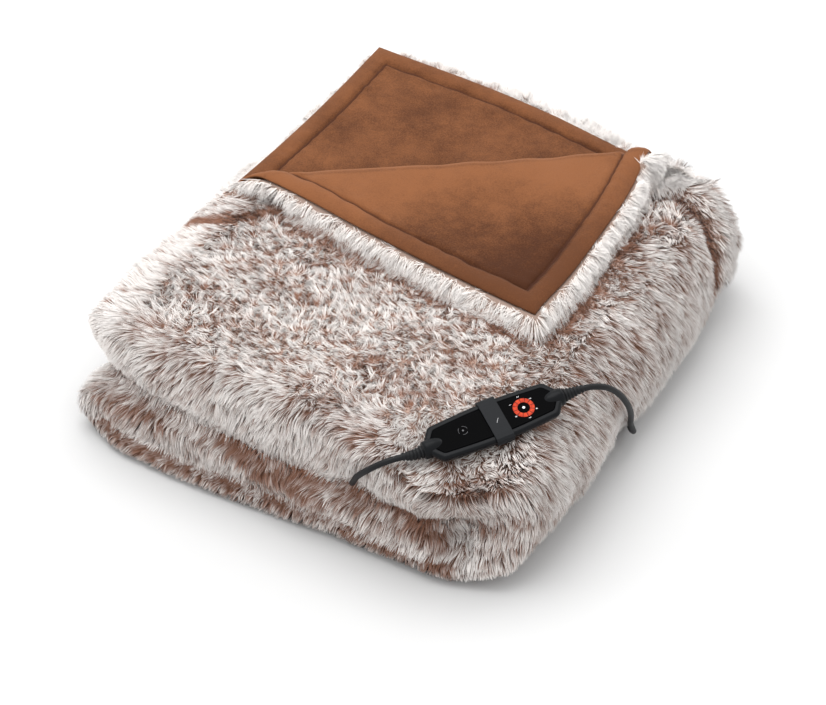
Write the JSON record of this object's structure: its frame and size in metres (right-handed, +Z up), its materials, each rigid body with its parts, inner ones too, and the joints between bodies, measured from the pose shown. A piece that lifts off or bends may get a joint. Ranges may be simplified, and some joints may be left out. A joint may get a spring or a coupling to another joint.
{
  "type": "electric heated blanket",
  "caption": "Folded electric heated throw with long-pile fur outside and plush lining on a turned-back corner, a slim hand control with a sliding switch, and a coiled mains lead with a plug.",
  "frame": {"origin": "on the surface it lies on, under the middle of the folded bundle", "axes": "+Z up, -Y towards the three rounded front folds, +X towards the closed side with the long wrap"},
  "size_m": [0.5146, 0.7262, 0.1675],
  "materials": {
    "pale_fur": "long pile, brown roots and off-white tips",
    "brown_plush": "short brushed plush",
    "dark_shell": "dark grey, fine matte",
    "gloss_black": "black, high gloss",
    "grey_switch": "mid grey, matte",
    "orange_ring": "orange-red, lit when on",
    "black_rubber": "soft black sheath",
    "plated_pin": "plated metal"
  },
  "bodies": {
    "throw": {"blanket_fur": "pale_fur", "blanket_lining": "brown_plush", "blanket_lead": "black_rubber", "blanket_relief": "black_rubber", "control_housing": "dark_shell", "control_face": "gloss_black", "heat_ring": "orange_ring", "heat_cap": "gloss_black", "mains_lead": "black_rubber", "mains_relief": "black_rubber", "mains_coil": "black_rubber", "plug_body": "black_rubber", "plug_pin_left": "plated_pin", "plug_pin_right": "plated_pin"},
    "switch": {"control_switch": "grey_switch"}
  },
  "joints": [
    {"name": "switch_slide", "type": "slide", "parent": "throw", "child": "switch", "axis": [0.5969, 0.7922, 0.1271], "range_m": [-0.004, 0.004]}
  ]
}
